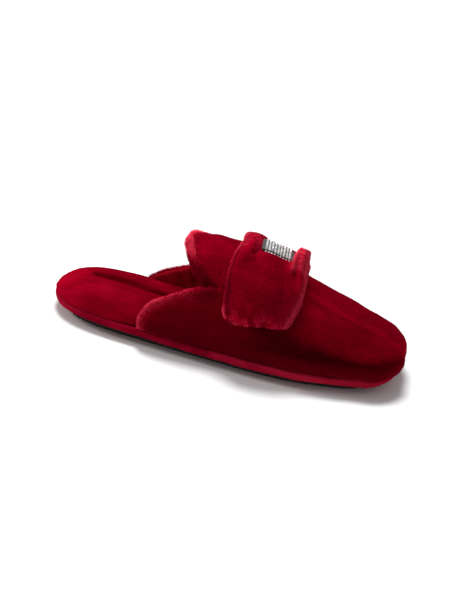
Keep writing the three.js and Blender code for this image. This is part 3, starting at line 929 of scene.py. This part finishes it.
SOLE_MIDDLE = np.array([133.0, 0.0, 11.0])
OUTLINE_STEPS = 720
OUTSIDE, BELOW = 200, -20  # where lines towards the rim and up to its underside start
SPAN = 3  # outline steps on each side from which the way along the rim is taken
STITCH_INSET, STITCH_PITCH = 3.2, 3.1
STITCH_RADIUS, STITCH_LENGTH = 0.34, 1.6
STITCH_END, STITCH_DIP = 0.4, 0.16  # how far each end reaches on, and into the velour
STITCH_SUNK = 0.12  # how far a stitch is drawn into the velour


def tree_of(piece):
    mesh = piece.data
    corners = [tuple(face.vertices) for face in mesh.polygons]
    return BVHTree.FromPolygons([vertex.co for vertex in mesh.vertices], corners)


def round_the_rim(tree, inset, spacing):
    """(place, direction) of evenly spaced spots on the rim's underside, inside its edge."""
    outline = []
    for turn in np.linspace(0, 2 * math.pi, OUTLINE_STEPS, endpoint=False):
        way = np.array([math.cos(turn), math.sin(turn), 0])
        spot, _, _, _ = tree.ray_cast(Vector(in_scene(SOLE_MIDDLE + way * OUTSIDE)), Vector(-way))
        outline.append(in_slipper(spot))
    outline = np.array(outline)
    along = unit(np.roll(outline, -SPAN, 0) - np.roll(outline, SPAN, 0))
    inwards = np.stack([-along[:, 1], along[:, 0], np.zeros(len(along))], 1)
    inner = outline + inwards * inset
    steps = np.linalg.norm(np.roll(inner, -1, 0) - inner, axis=1)
    travelled = np.concatenate([[0], np.cumsum(steps)[:-1]])
    spots = []
    for distance in np.arange(int(steps.sum() / spacing)) * spacing:
        index = int(np.searchsorted(travelled, distance, "right")) - 1
        x, y, _ = inner[index]
        spot, normal, _, _ = tree.ray_cast(Vector(in_scene((x, y, BELOW))), Vector((0, 0, 1)))
        if spot is not None and normal.z < -0.3:
            spots.append((spot, Vector(along[index])))
    return spots


def pull_face(piece, way, shift, taper):
    """Pulls out the faces that look one way, and tapers them."""
    bpy.ops.object.mode_set(mode="EDIT")
    mesh = bmesh.from_edit_mesh(piece.data)
    for face in mesh.faces:
        face.select_set(face.normal.dot(Vector(way)) > 0.9)
    metres = [part * MM for part in shift]
    bpy.ops.mesh.extrude_region_move(TRANSFORM_OT_translate={"value": metres})
    bpy.ops.transform.resize(value=taper)
    bpy.ops.object.mode_set(mode="OBJECT")


def one_stitch():
    """A short length of thread whose two ends dip into the velour."""
    bpy.ops.object.select_all(action="DESELECT")
    bpy.ops.mesh.primitive_cylinder_add(
        vertices=6,
        radius=STITCH_RADIUS * MM,
        depth=STITCH_LENGTH * MM,
        rotation=(0, math.pi / 2, 0),
    )
    stitch = bpy.context.object
    bpy.ops.object.transform_apply(rotation=True)
    for end in (1, -1):
        shift = (end * STITCH_END, 0, STITCH_DIP)
        pull_face(stitch, way=(end, 0, 0), shift=shift, taper=(1, 0.5, 0.5))
    return stitch


def copies(pattern, places, name):
    """One mesh of a pattern set at each place."""
    made = []
    for place in places:
        copy = new_object(name, pattern.data.copy())
        copy.data.transform(place)
        made.append(copy)
    only(*made)
    bpy.ops.object.join()
    joined = bpy.context.object
    joined.name = name
    bpy.data.objects.remove(pattern)
    return joined


stitch_places = []
for spot, way in round_the_rim(tree_of(rim), STITCH_INSET, STITCH_PITCH):
    side = Vector((0, 0, 1)).cross(way)
    turned = Matrix((way, side, (0, 0, 1))).transposed().to_4x4()
    sunk = spot - Vector((0, 0, STITCH_SUNK * MM))
    stitch_places.append(Matrix.Translation(sunk) @ turned)
seam = copies(one_stitch(), stitch_places, "rim_stitches")
finish_piece(seam, "rim_velour", THREAD)


# ---------------------------------------------------------------- strip of stones

STONE_PITCH = np.array([2.25, 2.05])  # between columns, and between rows
STONE_RADIUS, STONE_DEPTH, STONE_CROWN = 0.9, 0.7, 0.42
STONE_LIFT = 0.25  # of a stone's middle above the strip
STONE_TURN = 0.37, 0.81, 0.9  # radians by column and by row, and by column on the lateral side
BARE_END = 1.1  # dark setting left showing at both ends of the strip
BARE_SIDE = 0.8  # from the long edges to the middle of the nearest row
SIDE_DROP = 1.7  # from the first row down to the row on the lateral side of the strip
BAND_SKEW = -0.12  # how far the strip leans, x for each millimetre towards the big toe side
ABOVE, BESIDE = 120, 30  # where the stones are let down from

strip = nodes["bow_band"]
strip.data.materials.clear()
strip.data.materials.append(SETTING)


def one_stone():
    """A round cut stone: a girdle, crown facets and a table."""
    bpy.ops.object.select_all(action="DESELECT")
    bpy.ops.mesh.primitive_cylinder_add(
        vertices=8, radius=STONE_RADIUS * MM, depth=STONE_DEPTH * MM
    )
    stone = bpy.context.object
    pull_face(stone, way=(0, 0, 1), shift=(0, 0, STONE_CROWN), taper=(0.55, 0.55, 1))
    return stone


def seat(tree, start, way, turn):
    """Where a stone let down from start meets the strip, along the surface there."""
    spot, normal, _, _ = tree.ray_cast(Vector(in_scene(start)), Vector(way))
    lean = normal.to_track_quat("Z", "X").to_matrix().to_4x4()
    lifted = Matrix.Translation(spot + normal * STONE_LIFT * MM)
    return lifted @ lean @ Matrix.Rotation(turn, 4, "Z")


band_low, band_high = (in_slipper(corner)[:2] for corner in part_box("bow_band"))
lateral_end, medial_end = band_low[1], band_high[1]
half_length = (band_high[0] - band_low[0] + BAND_SKEW * (medial_end - lateral_end)) / 2
middle = (band_low + band_high) / 2
columns = int(2 * (half_length - BARE_END) // STONE_PITCH[0])
rows = int((medial_end - lateral_end - 2 * BARE_SIDE) // STONE_PITCH[1]) + 1
strip_tree = tree_of(strip)
stone_places = []
for column in range(columns):
    column_x = middle[0] + (column - (columns - 1) / 2) * STONE_PITCH[0]
    seats = []
    for row in range(rows):
        y = lateral_end + BARE_SIDE + row * STONE_PITCH[1]
        x = column_x + BAND_SKEW * (y - middle[1])
        turn = STONE_TURN[0] * column + STONE_TURN[1] * row
        seats.append(seat(strip_tree, (x, y, ABOVE), (0, 0, -1), turn))
    side_z = seats[0].translation.z / MM - SIDE_DROP
    side_x = column_x + BAND_SKEW * (lateral_end - middle[1])
    beside = (side_x, lateral_end - BESIDE, side_z)
    seats.append(seat(strip_tree, beside, (0, 1, 0), STONE_TURN[2] * column))
    stone_places += seats
stones = copies(one_stone(), stone_places, "cut_stone_rows")
finish_piece(stones, "stones", STONE)


# ---------------------------------------------------------------- floor, lights and camera

FLOOR_SIZE = 9  # metres
SKY, SKY_POWER = rgb(0.97, 0.98, 1.0), 0.4
YAW, RISE, ROLL = (math.radians(degrees) for degrees in (8, 24.6, 10))
DISTANCE = 1.5  # metres from the aim to the camera
AIM = (132, 0, 20)
FOCAL_PIXELS, LONG_SIDE = 1986, 600  # in the photograph
SHIFT_RIGHT, SHIFT_UP = -1.3, 14  # of the picture's middle, in its pixels
SENSOR = 36

bpy.ops.object.select_all(action="DESELECT")
bpy.ops.mesh.primitive_plane_add(size=FLOOR_SIZE, location=(0, 0, 0))
floor = bpy.context.object
floor.name = "studio_floor"
floor_paint = Paint("pale_floor", Specular_IOR_Level=0.1)
veil = floor_paint.noise(3, detail=2, rough=0.5)
floor_paint.set(
    Base_Color=floor_paint.ramp(veil, (0.2, rgb(0.9, 0.9, 0.895)), (0.8, rgb(0.95, 0.95, 0.948))),
    Roughness=0.85 + veil * 0.1,
)
floor.data.materials.append(floor_paint.material)

world = bpy.data.worlds.new("studio")
bpy.context.scene.world = world
world.use_nodes = True
background = world.node_tree.nodes["Background"]
background.inputs["Color"].default_value = SKY
background.inputs["Strength"].default_value = SKY_POWER


def soft_light(name, place, aim, size, power):
    data = bpy.data.lights.new(name, "AREA")
    data.shape = "DISK"
    data.size = size
    data.energy = power
    lamp = new_object(name, data)
    lamp.location = place
    lamp.rotation_mode = "QUATERNION"
    lamp.rotation_quaternion = (Vector(aim) - Vector(place)).to_track_quat("-Z", "Y")


soft_light("overhead", (-0.3, 0.45, 1.5), (0, 0, 0.03), size=0.8, power=30)
soft_light("heel_side", (-1.4, -0.3, 0.9), (0, 0, 0.04), size=0.5, power=7)

across = Vector((math.cos(YAW), math.sin(YAW), 0))
level = math.cos(RISE)
back = Vector((math.sin(YAW) * level, -math.cos(YAW) * level, math.sin(RISE)))
upright = back.cross(across)
right = across * math.cos(ROLL) + upright * math.sin(ROLL)
up = upright * math.cos(ROLL) - across * math.sin(ROLL)
lens = bpy.data.cameras.new("camera")
lens.sensor_width = SENSOR
lens.lens = FOCAL_PIXELS * SENSOR / LONG_SIDE
lens.shift_x, lens.shift_y = SHIFT_RIGHT / LONG_SIDE, SHIFT_UP / LONG_SIDE
lens.clip_start, lens.clip_end = 0.05, 20
camera = new_object("camera", lens)
turned = Matrix((right, up, back)).transposed().to_4x4()
camera.matrix_world = Matrix.Translation(Vector(in_scene(AIM)) + back * DISTANCE) @ turned
bpy.context.scene.camera = camera
bpy.context.scene.view_settings.view_transform = "Standard"
